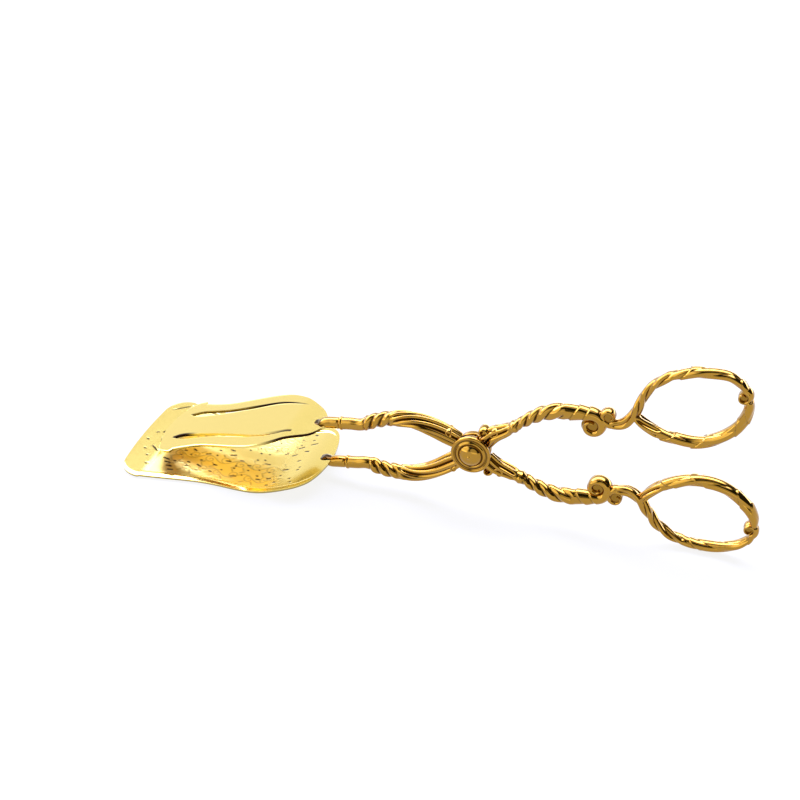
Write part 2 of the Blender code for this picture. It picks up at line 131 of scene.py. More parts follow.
print("sRGB mid grey in linear light", round(linear("808080")[0], 3))

# %% [markdown]
# ## Light and floor
#
# Plated metal is mostly a picture of its surroundings, so the light is a tent round a white table. Wide
# panels behind and on the left and a weak fill low in front give the middle tones. A cool, bright band
# above the back makes the tops of the castings pale, and the dim gap in front of it draws the dark lines
# along them. The foot of the tent is white all round and brightest at the far wall, so a low view ends in a
# white horizon. Lamps could do this too, but their hard shapes would show in every curl. The table looks
# white to the eye and in the metal, and keeps a soft shadow.

# %% Tent light and white floor
WHITE = (1.0, 1.0, 1.0, 1.0)
GAP_LEVEL = 0.03
world = bpy.data.worlds.new("tent_light")
bpy.context.scene.world = world
world.use_nodes = True
sky = world.node_tree
sky.nodes.clear()
direction = add_node(sky, "ShaderNodeTexCoord").outputs["Generated"]


def panel(direction_to, start, stop, level):
    """A soft panel of the tent, whose light goes from 0 to level as a direction turns toward the panel's own.

    It is a smooth step of the two directions' dot product, from start to stop.
    """
    toward = add_node(sky, "ShaderNodeVectorMath", {"operation": "DOT_PRODUCT"}, _0=direction,
                      _1=direction_to)
    fade = add_node(sky, "ShaderNodeMapRange", {"interpolation_type": "SMOOTHSTEP"}, From_Min=start,
                    From_Max=stop, To_Min=0.0, To_Max=level, Value=toward.outputs["Value"])
    return fade.outputs["Result"]


back_panel = panel((-0.45, 0.88, 0.15), 0.35, 1.00, 1.14)
left_panel = panel((-0.85, -0.42, 0.32), 0.70, 0.88, 2.1)
front_fill = panel((0.30, -0.88, 0.37), 0.84, 0.95, 0.8)
low_down = panel((0.0, 0.0, 1.0), 0.22, 0.12, 1.0)
far_wall = panel((0.25, 0.97, 0.0), 0.76, 0.88, 4.8)
far_wall = add_node(sky, "ShaderNodeMath", {"operation": "ADD"}, _0=far_wall, _1=1.0).outputs["Value"]
wall_foot = add_node(sky, "ShaderNodeMath", {"operation": "MULTIPLY"}, _0=low_down, _1=far_wall)
level = GAP_LEVEL
for light in (back_panel, left_panel, front_fill, wall_foot.outputs["Value"]):
    level = add_node(sky, "ShaderNodeMath", {"operation": "ADD"}, _0=light, _1=level).outputs["Value"]

# Across the band, the share runs from the soft part over the table to the bright part behind it, and stops.
BAND_ACROSS = (0.0, 0.857, -0.515)
soft_part = panel(BAND_ACROSS, -0.70, -0.60, 1.6)
bright_part = panel(BAND_ACROSS, -0.28, -0.10, 10.0)
band = add_node(sky, "ShaderNodeMath", {"operation": "ADD"}, _0=bright_part, _1=soft_part).outputs["Value"]
for limit in (panel((-0.35, 0.30, 0.887), 0.60, 0.74, 1.0), panel(BAND_ACROSS, 0.31, 0.22, 1.0)):
    band = add_node(sky, "ShaderNodeMath", {"operation": "MULTIPLY"}, _0=band, _1=limit).outputs["Value"]
tent = add_node(sky, "ShaderNodeBackground", None, Color=WHITE, Strength=level).outputs["Background"]
cool_band = add_node(sky, "ShaderNodeBackground", None, Color=linear("CFD3FF"), Strength=band)
both = add_node(sky, "ShaderNodeAddShader", None, _0=tent, _1=cool_band.outputs["Background"])
add_node(sky, "ShaderNodeOutputWorld", None, Surface=both.outputs["Shader"])

TABLE_REACH = 25.0
SHOWN_WHITE = 0.85
table_corners = [(TABLE_REACH * i, TABLE_REACH * j, 0.0) for i, j in ((-1, -1), (1, -1), (1, 1), (-1, 1))]
floor_mesh = bpy.data.meshes.new("white_table")
floor_mesh.from_pydata(table_corners, [], [(0, 1, 2, 3)])
floor = bpy.data.objects.new("white_table", floor_mesh)
bpy.context.scene.collection.objects.link(floor)
# Flat white paint: even and shadowless to the eye except close under the object, where a soft grey stays.
table_paint = bpy.data.materials.new("white_table_paint")
table_paint.use_nodes = True
paint = table_paint.node_tree
board = paint.nodes["Principled BSDF"]
board.inputs["Base Color"].default_value = linear("DCDCDC")
board.inputs["Roughness"].default_value = 0.9
rays = add_node(paint, "ShaderNodeLightPath").outputs
seen = rays["Is Camera Ray"]
for kind in ("Is Glossy Ray", "Is Transmission Ray"):
    seen = add_node(paint, "ShaderNodeMath", {"operation": "ADD", "use_clamp": True}, _0=seen, _1=rays[kind])
    seen = seen.outputs["Value"]
shown = add_node(paint, "ShaderNodeMath", {"operation": "MULTIPLY"}, _0=seen, _1=SHOWN_WHITE).outputs["Value"]
glow = add_node(paint, "ShaderNodeEmission", None, Color=WHITE, Strength=1.0).outputs["Emission"]
table_top = add_node(paint, "ShaderNodeMixShader", None, _0=shown, _1=board.outputs["BSDF"], _2=glow)
paint.links.new(table_top.outputs["Shader"], paint.nodes["Material Output"].inputs["Surface"])
floor_mesh.materials.append(table_paint)
print("tent nodes", len(sky.nodes), "table nodes", len(paint.nodes))

# %% [markdown]
# ## Gold plate and steel
#
# The arms are cast, gilt and lacquered, so they keep a faint orange peel under a bright skin, and shade is
# painted into their folds. The plates are pressed from sheet and polished, so they are smoother, with
# fine rubbing marks and a duller pressed ground, and shade is painted into their dents and lines too. All are
# metals: colour in the base, default IOR, and a low roughness that noise varies a little. A picture could
# hold the painted shade, but an attribute on the points follows the shape.

# %% Metal materials
PEEL_HEIGHT = 0.2 * MM


def plated(name, base_hex, roughness, peel_mm, peel_depth, rub_mm, hollow_hex=None, matt=0.0, lacquer=0.0):
    """Polished metal: roughness varied by fine rubbing, bump from a cast or rolled peel.

    Object coordinates are in metres, so a noise of p millimetres has a scale of 1000 / p. A piece may carry
    two attributes: one for painted shade in hollows and dark brazing lines, which also takes the lacquer off
    there, and ground, where a pressed field is left matt.
    """
    material = bpy.data.materials.new(name)
    material.use_nodes = True
    tree = material.node_tree
    shader = tree.nodes["Principled BSDF"]
    shader.inputs["Metallic"].default_value = 1.0
    shader.inputs["Base Color"].default_value = linear(base_hex)
    place = add_node(tree, "ShaderNodeTexCoord").outputs["Object"]
    # Painted shade: where a point's shade share is high, the base colour turns to the hollow colour and the
    # lacquer thins. Brazing lines use the same share.
    if hollow_hex:
        shade_and_brazing = add_node(tree, "ShaderNodeAttribute", {"attribute_name": "shade_and_brazing"}).outputs["Fac"]
        colour = add_node(tree, "ShaderNodeMix", {"data_type": "RGBA"}, Factor=shade_and_brazing, _6=linear(base_hex),
                          _7=linear(hollow_hex))
        tree.links.new(colour.outputs[2], shader.inputs["Base Color"])
    if hollow_hex and lacquer:
        coat = add_node(tree, "ShaderNodeMath", {"operation": "MULTIPLY_ADD"}, _0=shade_and_brazing, _1=-lacquer,
                        _2=lacquer)
        tree.links.new(coat.outputs["Value"], shader.inputs["Coat Weight"])
    rub = add_node(tree, "ShaderNodeTexNoise", None, Vector=place, Scale=1000 / rub_mm, Detail=4.0,
                   Roughness=0.6)
    vary = add_node(tree, "ShaderNodeMapRange", None, Value=rub.outputs["Fac"], From_Min=0.3, From_Max=0.7,
                    To_Min=roughness * 0.7, To_Max=roughness * 1.4).outputs["Result"]
    if matt:
        ground = add_node(tree, "ShaderNodeAttribute", {"attribute_name": "ground"}).outputs["Fac"]
        vary = add_node(tree, "ShaderNodeMath", {"operation": "MULTIPLY_ADD"}, _0=ground, _1=matt,
                        _2=vary).outputs["Value"]
    tree.links.new(vary, shader.inputs["Roughness"])
    peel = add_node(tree, "ShaderNodeTexNoise", None, Vector=place, Scale=1000 / peel_mm, Detail=2.0)
    bump = add_node(tree, "ShaderNodeBump", None, Height=peel.outputs["Fac"], Strength=peel_depth,
                    Distance=PEEL_HEIGHT)
    tree.links.new(bump.outputs["Normal"], shader.inputs["Normal"])
    return material


# Deep brownish gold under a clear lacquer: pale white-gold where it mirrors the band, near black where shade
# is painted into its folds.
CAST_GILT = plated("gilt_zinc_casting", "A97D18", roughness=0.06, peel_mm=1.6, peel_depth=0.10, rub_mm=0.5,
                   hollow_hex="1E0E02", lacquer=0.6)
# Pale lemon gold, mirror-bright on the plain sheet and satin in the pressed ground, which painted shade in
# its dents and lines makes a little browner.
SHEET_GILT = plated("gilt_pressed_sheet", "E6CE74", roughness=0.12, peel_mm=3.0, peel_depth=0.05, rub_mm=0.4,
                    hollow_hex="2A1503", matt=0.20)
# Plain grey turned steel with a fine brushed haze.
RIVET_STEEL = plated("turned_rivet_steel", "A9A69E", roughness=0.32, peel_mm=0.8, peel_depth=0.10, rub_mm=0.3)
print("materials", [m.name for m in (CAST_GILT, SHEET_GILT, RIVET_STEEL)])

# %% [markdown]
# ## Surfaces on a grid
#
# Every new piece is a grid of points: one parameter runs along it and one runs round it. A single function
# turns the grid into a mesh, closing it round the second parameter and capping both ends with a face.

# %% Grid to mesh
MERGE_DISTANCE = 1e-7


def grid_faces(rows, columns, closed):
    """Four-sided faces between neighbours on a grid, closed round its columns or open at both edges."""
    i, j = np.meshgrid(np.arange(rows - 1), np.arange(columns if closed else columns - 1), indexing="ij")
    k = (j + 1) % columns
    corners = [i * columns + j, i * columns + k, (i + 1) * columns + k, (i + 1) * columns + j]
    return np.stack(corners, -1).reshape(-1, 4)


def skin(name, points_mm, body, material, node=None, marks=None):
    """A closed tube from an (along, round, xyz) grid in mm; the first and last rings are capped."""
    along, around = points_mm.shape[:2]
    quads = grid_faces(along, around, True)
    caps = [list(range(around)), list(range((along - 1) * around, along * around))]
    return solid(name, points_mm.reshape(-1, 3), quads.tolist() + caps, body, material, node, marks)


def solid(name, verts_mm, faces, body, material, node=None, marks=None):
    """A mesh piece from points in mm, merged, turned outward, smoothed and set to ride on a body.

    marks holds attributes for the material: a name and one value for each point.
    """
    mesh = bpy.data.meshes.new(name)
    mesh.from_pydata((np.asarray(verts_mm) * MM).tolist(), [], faces)
    for mark, values in (marks or {}).items():
        shares = mesh.attributes.new(mark, "FLOAT", "POINT")
        shares.data.foreach_set("value", np.ravel(values).astype(np.float32))
    work = bmesh.new()
    work.from_mesh(mesh)
    bmesh.ops.remove_doubles(work, verts=work.verts, dist=MERGE_DISTANCE)
    bmesh.ops.recalc_face_normals(work, faces=work.faces)
    work.to_mesh(mesh)
    work.free()
    mesh.shade_smooth()
    piece = bpy.data.objects.new(name, mesh)
    bpy.context.scene.collection.objects.link(piece)
    mesh.materials.append(material)
    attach(piece, body)
    if node:
        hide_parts(node)
    return piece


print("faces of a ring of 3 by 8 points", len(grid_faces(3, 8, True)))

# %% [markdown]
# ## Curves that the castings follow
#
# A founder's pattern is drawn as a few stations joined by a flowing line, with spirals for the scrolls. The
# stations below are the same ones that the solids use: x along the line that halves the arms, z across it,
# and the bar's width there.

# %% Stations, splines and spirals
TILT = radians(9.35)
NECK_X, NECK_Z, NECK_RADIUS = -45.3, -7.7, 2.1
JAW_LIMB = [
    (-38.5, -7.6, 4.2), (-33.5, -9.3, 4.6), (-28.0, -10.4, 5.0), (-22.5, -10.6, 5.2),
    (-17.5, -9.6, 5.6), (-12.5, -7.5, 6.2), (-8.0, -5.0, 6.4), (-2.5, -1.8, 5.0),
]
HANDLE_LIMB = [
    (2.5, 2.0, 6.4), (7.2, 6.0, 5.6), (11.5, 7.9, 4.2), (16.0, 10.2, 3.3), (21.0, 13.2, 4.0),
    (26.0, 15.4, 4.8), (31.5, 16.3, 5.4), (36.5, 16.2, 4.8),
]
OUTER_BAND = [
    (51.6, 12.9, 4.0), (54.8, 15.6, 4.0), (57.3, 20.0, 3.8), (60.3, 25.2, 3.5), (65.6, 29.6, 3.4),
    (72.0, 31.9, 3.5), (79.0, 32.4, 3.6), (85.5, 31.5, 3.4), (89.5, 28.9, 2.9),
]
INNER_BAND = [
    (55.6, 15.6, 3.0), (58.2, 13.0, 3.4), (62.5, 10.2, 3.6), (68.0, 8.1, 3.7), (74.2, 7.2, 3.8),
    (80.0, 8.2, 3.8), (85.4, 11.2, 3.8), (89.6, 15.6, 3.8), (91.7, 20.2, 3.4), (92.1, 22.8, 2.4),
]


def spline(points, per_span=16):
    """Catmull-Rom curve through rows of numbers: cubic spans whose slope at a row joins its neighbours."""
    rows = np.array(points, float)
    ends = np.vstack([2 * rows[0] - rows[1], rows, 2 * rows[-1] - rows[-2]])
    a, b, c, d = (ends[k:len(rows) - 1 + k, None] for k in range(4))
    t = np.linspace(0, 1, per_span, endpoint=False)[None, :, None]
    square, cube = 2 * a - 5 * b + 4 * c - d, 3 * b - a - 3 * c + d
    spans = 0.5 * (2 * b + (c - a) * t + square * t ** 2 + cube * t ** 3)
    return np.vstack([spans.reshape(-1, rows.shape[1]), rows[-1:]])


def spiral(centre, radius, angle, sweep, width, count=90):
    """Rows of x, z, width: the radius and the width run evenly from first to last as the angle turns."""
    t = np.linspace(0, 1, count)
    turn = np.radians(angle + sweep * t)
    r = radius[0] + (radius[1] - radius[0]) * t
    return np.column_stack([
        centre[0] + r * np.cos(turn), centre[1] + r * np.sin(turn), width[0] + (width[1] - width[0]) * t,
    ])


def even(rows, step=0.25):
    """The same curve with its rows spaced evenly along its length, and that length at each row."""
    run = np.concatenate([[0], np.cumsum(np.linalg.norm(np.diff(rows[:, :2], axis=0), axis=1))])
    s = np.linspace(0, run[-1], int(run[-1] / step) + 2)
    return np.column_stack([np.interp(s, run, column) for column in rows.T]), s


def to_world(x, y, z, hand):
    """Arm coordinates to world millimetres: mirror by hand, tilt about the pin, move to the pin."""
    z = z * hand
    return np.stack([
        PIVOT[0] + x * cos(TILT) - z * sin(TILT), np.broadcast_to(y, x.shape) + PIVOT[1],
        PIVOT[2] + x * sin(TILT) + z * cos(TILT),
    ], -1)


print("stations of the bars", [len(rows) for rows in (JAW_LIMB, HANDLE_LIMB, OUTER_BAND, INNER_BAND)])

# %% [markdown]
# ## A cast bar with relief
#
# A bar is a rounded section carried along its curve. The relief is added to the section as a height that
# depends on how far along and how far round a point is: ribs run along, leaf folds wind round. This keeps
# one watertight skin, which a founder would also have, where separate leaves would leave open seams.

# %% Bar surface and its relief
# Painted shade in the folds: it starts where a point lies FOLD_START mm below its neighbours and is full at
# FOLD_FULL mm, at a share of FOLD_DARK.
FOLD_START, FOLD_FULL, FOLD_DARK = 0.06, 0.24, 0.95
END_STRETCH = 0.6


def window(s, start, stop, soft=2.0):
    """1 between start and stop, easing to 0 over a soft length outside."""
    rise = np.clip((s - start) / soft + 1, 0, 1)
    fall = np.clip((stop - s) / soft + 1, 0, 1)
    return rise * rise * (3 - 2 * rise) * fall * fall * (3 - 2 * fall)


def strands(s, turn, count, turns):
    """Leaf strands that wind round a bar: rounded lobes parted by creases, as |sin| of the angle.

    turns holds (length, turns per 100 mm) pairs; the wind is the running sum of that rate along the bar.
    """
    rate = np.interp(s[:, 0], *zip(*turns)) / 100
    wind = np.concatenate([[0], np.cumsum((rate[1:] + rate[:-1]) / 2 * np.diff(s[:, 0]))])[:, None]
    lobes = np.abs(np.sin(count * (turn / 2 - pi * wind))) - 0.7
    return lobes * (0.4 + 0.6 * np.abs(np.sin(turn)))


def lap(s, turn, start, slant, rise, taper=5.0):
    """The raised tip of one leaf lying on the bar: a slanting step, then a slow fall back to the bar."""
    past = s - start - slant * np.cos(turn)
    return rise * np.clip(past / 0.3, 0, 1) * np.exp(-np.maximum(past, 0) / taper)


def hollows(lift, reach=4):
    """How far each point lies below the mean of its neighbours: 0 at FOLD_START mm, 1 at FOLD_FULL mm."""
    steps = range(-reach, reach + 1)
    padded = np.pad(lift, ((reach, reach), (0, 0)), mode="edge")
    mean = sum(padded[reach + k:reach + k + len(lift)] for k in steps) / len(steps)
    mean = sum(np.roll(mean, k, axis=1) for k in steps) / len(steps)
    return np.clip((mean - lift - FOLD_START) / (FOLD_FULL - FOLD_START), 0, 1)


def plain(s, turn):
    """No relief and no tint."""
    return 0 * s * turn


def bar(name, rows, depth, relief, place, body, slot, material, node, around=128, square=0.92, tint=plain):
    """A bar along rows of x, z and width.

    The section is a superellipse of the width and twice the depth. Relief moves the skin outward by
    relief(s, turn) millimetres, and both ends close in a rounded cap, END_STRETCH of the half width long.
    Shade is painted into the folds of the relief, and tint(s, turn) adds its own dark marks.
    """
    rows, s = even(np.asarray(rows, float))
    depth = np.interp(s, np.linspace(0, s[-1], np.size(depth)), np.atleast_1d(depth))
    along = np.gradient(rows[:, :2], axis=0)
    along /= np.linalg.norm(along, axis=1)[:, None]
    turn = np.linspace(0, 2 * pi, around, endpoint=False)[None]
    side = np.sign(np.cos(turn)) * np.abs(np.cos(turn)) ** square
    rise = np.sign(np.sin(turn)) * np.abs(np.sin(turn)) ** square
    lift = relief(s[:, None], turn)
    close = np.linspace(0.02, pi / 2, 8)[:-1]
    taper = np.concatenate([np.sin(close), np.ones(len(s)), np.sin(close)[::-1]])[:, None]
    slide = np.concatenate([-np.cos(close), np.zeros(len(s)), np.cos(close)[::-1]])
    pick = np.concatenate([np.zeros(len(close), int), np.arange(len(s)), np.full(len(close), len(s) - 1)])
    half = rows[pick, 2] / 2
    reach = (half[:, None] + lift[pick]) * side * taper
    y = (depth[pick, None] + lift[pick]) * rise * taper
    middle = rows[pick, :2] + along[pick] * (slide * half * END_STRETCH)[:, None]
    x = middle[:, :1] - along[pick, 1, None] * reach
    z = middle[:, 1:] + along[pick, 0, None] * reach
    # Painted shade in the folds, joined with the tint's dark marks.
    dark = np.maximum(FOLD_DARK * hollows(lift), tint(s[:, None], turn))
    return skin(name, place(x, y, z), body, material, node, {"shade_and_brazing": dark[pick]})


print("folds darken from", FOLD_START, "to", FOLD_FULL, "mm of depth")

# %% [markdown]
# ## The two arms
#
# Each arm is four bars that run into one another: the jaw limb, the handle limb with its inward volute, the
# outer band that starts as a scroll and ends as a small curl inside the finger loop, and the inner band
# that closes the loop. The second arm is the mirror image, so one function makes both.

# %% Cast arms
VOLUTE_AT, SCROLL_AT, EYE_AT = (41.3, 11.9), (47.4, 15.4), (90.3, 24.6)
VOLUTE = spiral(VOLUTE_AT, (4.0, 1.2), 96.0, -400.0, (3.6, 1.3))
SCROLL = spiral(SCROLL_AT, (0.9, 3.0), -60.0, 330.0, (1.1, 3.4))
EYE = spiral(EYE_AT, (2.4, 0.7), 70.0, -400.0, (2.5, 1.1))
RIB_HEIGHT, WRAP_HEIGHT, LEAF_HEIGHT = 1.2, 0.95, 0.35
ARMS = [("rear", 1, "serving_half"), ("front", -1, "clamping_half")]


def jaw_relief(s, turn):
    """Three tight wraps past the neck, then long ribs that turn slowly along the limb to the boss."""
    wrap = WRAP_HEIGHT * strands(s, turn, 3, [(0, -8.0), (13, -9.5), (20, -6.5), (60, -6.5)])
    rib = RIB_HEIGHT * strands(s, turn, 8, [(14, -4.0), (22, -1.8), (34, -0.5), (50, 0.0)])
    return wrap * window(s, 9.5, 17) + rib * window(s, 21, 46, 3) + lap(s, turn, 8.2, -0.8, 0.3)


def handle_relief(s, turn):
    """Ribs from the boss to a small knot at the waist, tight wraps above it, then a smooth leaf."""
    rib = RIB_HEIGHT * strands(s, turn, 7, [(0, 0.6), (60, 0.6)]) * window(s, 3, 12, 2)
    knot = 0.4 * np.exp(-((s - 15.2) / 0.8) ** 2)
    winds = [(0, 9.0), (20, 8.6), (26, 7.4), (34, 4.5), (60, 4.5)]
    wrap = WRAP_HEIGHT * strands(s, turn, 3, winds) * window(s, 17.5, 33)
    return rib + knot + wrap + lap(s, turn, 37.0, 1.8, 0.45) + lap(s, turn, 41.0, 1.2, 0.4)


def outer_relief(s, turn):
    """Split ribs where the scroll meets the loop, wraps round its first quarter, then shallow leaves."""
    leaf = strands(s, turn, 3, [(8, 0.5), (18, 2.0), (24, 5.5), (44, 4.5), (60, 2.5), (80, 2.0)])
    height = WRAP_HEIGHT * window(s, 13, 40) + LEAF_HEIGHT * window(s, 44, 74, 4)
    return height * leaf - 0.27 + lap(s, turn, 45.0, 2.2, 0.35, 8.0) + lap(s, turn, 64.0, -1.8, 0.3, 6.0)


def inner_relief(s, turn):
    """Two ribs at the crossing, then shallow leaves that wind along the band and end in raised tips."""
    rib = 1.0 * strands(s, turn, 5, [(0, 1.2), (60, 1.2)]) * window(s, 2, 8, 2)
    leaf = LEAF_HEIGHT * strands(s, turn, 3, [(0, -2.5), (60, -2.5)]) * window(s, 11, 44, 3)
    tips = lap(s, turn, 12.0, 2.4, 0.32) + lap(s, turn, 22.0, 3.0, 0.3, 7.0)
    return rib + leaf + tips - 0.15 + lap(s, turn, 36.0, 2.6, 0.32) + lap(s, turn, 42.0, 2.6, 0.32)


LAP_FACE, LAP_RADIUS = 0.5, 6.3
CURLS = [
    spiral((4.2, 7.3), (2.3, 0.5), -110.0, 340.0, (2.0, 0.9)),
    spiral((8.3, 7.9), (1.8, 0.4), -130.0, 320.0, (1.7, 0.8)),
    spiral((-7.2, -7.0), (1.4, 0.4), 60.0, 320.0, (1.5, 0.8)),
]


def arm(word, hand, body):
    """The four bars and the leaf curls of one arm, each kept to the arm's own half of the lap at the boss."""
    node = word + "_arm"

    def place(x, y, z):
        """Arm to world, keeping to the arm's own half of the lap inside the boss circle."""
        own = np.maximum(y, LAP_FACE) if hand > 0 else np.minimum(y, -LAP_FACE)
        return to_world(x, np.where(np.hypot(x, z) < LAP_RADIUS, own, y), z, hand)

    gilt = (place, body, "cast_gold", CAST_GILT, node)
    neck = [(NECK_X, NECK_Z, 2 * NECK_RADIUS), (NECK_X + 3.0, NECK_Z, 2 * NECK_RADIUS)]
    depth = [NECK_RADIUS, NECK_RADIUS, 2.3, 2.5, 2.5, 2.5, 2.5]
    bar(word + "_jaw_limb", spline(neck + JAW_LIMB), depth, jaw_relief, *gilt)
    handle = np.vstack([spline(HANDLE_LIMB + [tuple(VOLUTE[0])])[:-1], VOLUTE])
    bar(word + "_handle_limb", handle, 2.4, handle_relief, *gilt)
    outer = np.vstack([SCROLL[:-1], spline([tuple(SCROLL[-1])] + OUTER_BAND + [tuple(EYE[0])])[:-1], EYE])
    bar(word + "_outer_band", outer, 2.25, outer_relief, *gilt)
    bar(word + "_inner_band", spline(INNER_BAND), 2.3, inner_relief, *gilt)
    for number, curl in enumerate(CURLS):
        bar(f"{word}_leaf_curl_{number}", curl, 2.3, plain, *gilt, around=32)
    print(word, "arm made on", body)


for word, hand, body in ARMS:
    arm(word, hand, body)

# %% [markdown]
# ## Turned pieces
#
# The webs, bosses, cap, rivet and collars are round, so each is a profile of radius and height spun about
# its axis. Smooth profiles come from the same spline, and sharp corners are pairs of close points. The two
# washers keep their CAD shape and take the steel.

# %% Spun profiles


def spun(name, profile, origin, axis, body, material, node=None, around=96, shade_and_brazing=None):
    """A solid of revolution: rows of (radius, height) turned about an axis through an origin.

    The last argument gives each row's share of painted shade.
    """
    profile = np.array(profile, float)
    axis = np.array(axis, float) / np.linalg.norm(axis)
    side = np.cross(axis, (0.31, 0.2, 0.9))
    side /= np.linalg.norm(side)
    other = np.cross(axis, side)
    turn = np.linspace(0, 2 * pi, around, endpoint=False)
    ring = np.cos(turn)[:, None] * side + np.sin(turn)[:, None] * other
    points = np.asarray(origin) + profile[:, 0, None, None] * ring + profile[:, 1, None, None] * axis
    marks = None
    if shade_and_brazing is not None:
        marks = {"shade_and_brazing": np.broadcast_to(np.asarray(shade_and_brazing)[:, None], points.shape[:2])}
    return skin(name, points, body, material, node, marks)


FRONT = np.array([0.0, -1.0, 0.0])


def disc(radius, low, high, edge=0.35):
    """Profile of a disc with rounded rims, from its low face to its high face."""
    bend = np.linspace(0, pi / 2, 6)
    lower = np.column_stack([radius - edge + edge * np.sin(bend), low + edge - edge * np.cos(bend)])
    upper = np.column_stack([radius - edge + edge * np.cos(bend), high - edge + edge * np.sin(bend)])
    return np.vstack([[0.01, low], lower, upper, [0.01, high]])


WEBS = [("volute_web", VOLUTE_AT, 3.4), ("scroll_web", SCROLL_AT, 2.0), ("eye_web", EYE_AT, 1.7)]
# WEB_DARK is painted shade on the recessed webs inside the scrolls.
WEB_HALF_DEPTH, WEB_DARK = 1.3, 0.35
for word, hand, body in ARMS:
    for name, (x, z), radius in WEBS:
        centre = to_world(np.array(x), np.array(0.0), np.array(z), hand)
        web = disc(radius, -WEB_HALF_DEPTH, WEB_HALF_DEPTH)
        spun(f"{word}_{name}", web, centre, FRONT, body, CAST_GILT, word + "_arm", 40,
             shade_and_brazing=np.full(len(web), WEB_DARK))
BOSS_RADIUS, BOSS_FACE = 5.8, 2.6
rear_lap, front_lap = disc(BOSS_RADIUS, -BOSS_FACE, -LAP_FACE), disc(BOSS_RADIUS, LAP_FACE, BOSS_FACE)
spun("rear_boss", rear_lap, PIVOT, FRONT, "serving_half", CAST_GILT, "rear_arm")
spun("front_boss", front_lap, PIVOT, FRONT, "clamping_half", CAST_GILT, "front_arm")

GROOVE_RADIUS, DOME_RADIUS, CAP_DARK = 5.4, 3.95, 0.8
outer_ring = [
    (6.8, 3.1), (6.85, 3.5), (6.7, 3.95), (6.3, 4.15), (5.9, 4.05), (5.7, 3.8), (GROOVE_RADIUS, 3.72),
    (5.1, 3.85),
]
inner_ring = [(4.8, 4.15), (4.5, 4.25), (4.2, 4.1), (4.0, 3.85), (3.85, 3.85)]
arc = np.linspace(0.25, pi / 2 - 0.16, 18)
dome = np.column_stack([DOME_RADIUS * np.cos(arc), 3.75 + 2.1 * np.sin(arc)])
nub = [(0.55, 5.95), (0.35, 6.07), (0.01, 6.1)]
cap_profile = np.vstack([[(0.01, 2.9), (6.6, 2.9)], spline(outer_ring + inner_ring, 5), dome, nub])
cap_radius, cap_height = cap_profile.T
# Painted shade in the cap's groove and round the foot of its dome, scaled by CAP_DARK.
groove = np.exp(-((cap_radius - GROOVE_RADIUS) / 0.22) ** 2)
dome_foot = np.exp(-((cap_radius - DOME_RADIUS) / 0.15) ** 2)
spun("medallion_cap_turned", cap_profile, PIVOT, FRONT, "serving_half", CAST_GILT,
     "medallion_cap", shade_and_brazing=CAP_DARK * (groove + dome_foot) * (cap_height > 3))

head = spline([(4.2, 3.75), (4.1, 4.3), (3.2, 4.8), (1.8, 5.05), (0.6, 5.1), (0.01, 5.1)], 5)
shaft = [(0.01, -4.0), (1.5, -4.0), (1.5, 3.58), (4.1, 3.6)]
spun("rivet_with_head", np.vstack([shaft, head]), PIVOT, -FRONT, "serving_half", RIVET_STEEL,
     "pivot_pin")
for node in ("pivot_washer", "rear_washer"):
    frame["nodes"][node].data.materials.clear()
    frame["nodes"][node].data.materials.append(RIVET_STEEL)

ARM_X = np.array([cos(TILT), 0.0, sin(TILT)])
COLLAR_GAP = 2.1
SEAT_X = NECK_X - COLLAR_GAP


def seat(hand):
    """World point where a plate's shoulder meets its collar."""
    return to_world(np.array(SEAT_X), np.array(0.0), np.array(NECK_Z), hand)


COLLAR_BORE, COLLAR_RADIUS, COLLAR_LOW, COLLAR_HIGH = 1.2, 2.4, 1.0, 2.05
collar = disc(COLLAR_RADIUS, COLLAR_LOW, COLLAR_HIGH, 0.45)[1:-1]
ring = np.vstack([[(COLLAR_BORE, COLLAR_LOW)], collar, [(COLLAR_BORE, COLLAR_HIGH)]])
for word, hand, body in (("serving", 1, "serving_half"), ("slotted", -1, "clamping_half")):
    spun(word + "_collar_ring", ring, seat(hand), ARM_X, body, CAST_GILT, word + "_collar")
print("cap rows", len(cap_profile), "plate seats in mm", [seat(hand).round(2).tolist() for hand in (1, -1)])

# %% [markdown]
# ## Serving plate
#
# The lower plate is pressed: a plain rim, a sunk panel, a broad plain border at the tip and a rear that
# sweeps up into the shank. Rows run from root to tip and columns from edge to edge, and the height at each
# point is the sweep plus the rim plus the pressed ornament.

# %% Plate outline and serving plate
EDGE_RADIUS, LOWER_EDGE_DARK = 0.25, 0.75


def ease(value):
    """Smooth step from 0 to 1."""
    t = np.clip(value, 0, 1)
    return t * t * (3 - 2 * t)


def plate_rows(stations, length, tip_width, corner, bow, step=0.36):
    """Distance from the shoulder, half width and bow of rows: spline sides, then a round corner."""
    body = spline(stations, 24)
    turn = np.linspace(0, pi / 2, 24)
    end = np.column_stack([
        length - bow - corner * (1 - np.sin(turn)),
        tip_width / 2 - corner * (1 - np.cos(turn)),
        bow * np.sin(turn),
    ])
    lead = body[body[:, 0] < end[0, 0] - 0.3]
    lead, _ = even(np.column_stack([lead, np.zeros(len(lead))]), step)
    return np.vstack([lead, end])


def roll_edge(piece, sharp):
    """A bevel on the edges of a plate that turn by more than sharp degrees."""
    bevel = piece.modifiers.new("rolled_edge", "BEVEL")
    bevel.width = EDGE_RADIUS * MM
    bevel.segments = 3
    bevel.limit_method = "ANGLE"
    bevel.angle_limit = radians(sharp)


